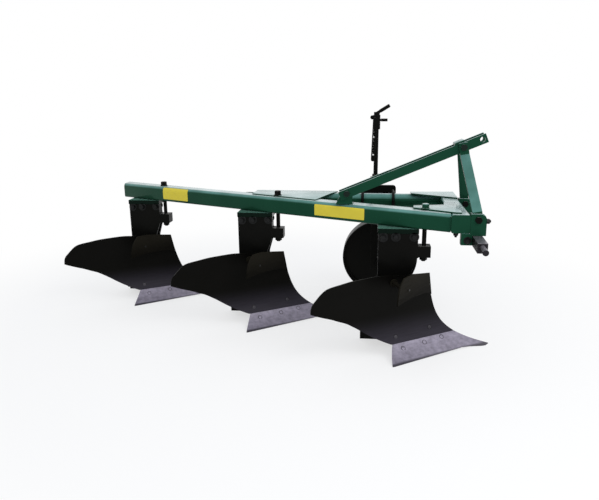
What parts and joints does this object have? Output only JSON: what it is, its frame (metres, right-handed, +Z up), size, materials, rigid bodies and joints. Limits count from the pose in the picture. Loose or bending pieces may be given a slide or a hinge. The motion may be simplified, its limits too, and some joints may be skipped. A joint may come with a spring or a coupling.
{
  "type": "mounted plough",
  "caption": "Mounted mouldboard plough with curved bodies in a diagonal row under a tubular frame, an A-shaped hitch mast and a gauge wheel set by a screw",
  "frame": {"origin": "centre of the overall box on the floor", "axes": "+X forward in the direction of travel, +Y to the land side on the left, +Z up"},
  "size_m": [2.4492, 1.3076, 1.1991],
  "materials": {
    "green_paint": "dark green gloss enamel",
    "black_paint": "black enamel, half gloss",
    "share_steel": "dark steel with a thin coat",
    "bare_steel": "dull bare steel"
  },
  "bodies": {
    "frame": {"main_beam": "green_paint", "cross_beam": "green_paint", "side_tube": "green_paint", "corner_gusset": "green_paint", "hitch_ear_right": "green_paint", "hitch_ear_left": "green_paint", "hitch_bar": "bare_steel", "mast_post_right": "green_paint", "mast_post_left": "green_paint", "brace_bar_right": "green_paint", "brace_bar_left": "green_paint", "brace_foot": "green_paint", "mast_pin": "bare_steel", "foot_pin": "bare_steel", "post_bolt_right": "bare_steel", "post_bolt_left": "bare_steel", "bracket_front": "green_paint", "bracket_middle": "green_paint", "bracket_rear": "green_paint", "standard_front_body": "black_paint", "standard_middle_body": "black_paint", "standard_rear_body": "black_paint", "long_bolt_front": "black_paint", "long_bolt_middle": "black_paint", "long_bolt_rear": "black_paint", "mouldboard_front": "black_paint", "mouldboard_middle": "black_paint", "mouldboard_rear": "black_paint", "share_front": "share_steel", "share_middle": "share_steel", "share_rear": "share_steel", "landside_front": "black_paint", "landside_middle": "black_paint", "landside_rear": "black_paint", "trash_board_front": "black_paint", "trash_board_middle": "black_paint", "trash_board_rear": "black_paint", "wheel_clamp": "black_paint", "clamp_u_bolts": "bare_steel", "wheel_arm": "black_paint"},
    "leg": {"wheel_leg": "black_paint", "leg_screw": "black_paint", "screw_crank": "black_paint", "slotted_bar": "black_paint", "stub_axle": "bare_steel"},
    "wheel": {"wheel_rim": "bare_steel", "wheel_disc": "black_paint", "wheel_hub": "black_paint"}
  },
  "joints": [
    {"name": "depth_slide", "type": "slide", "parent": "frame", "child": "leg", "axis": [0, 0, 1], "range_m": [0, 0.25]},
    {"name": "wheel_spin", "type": "hinge", "parent": "leg", "child": "wheel", "pos_m": [0.66259, 0.59377, 0.238], "axis": [0, 1, 0], "continuous": true}
  ]
}
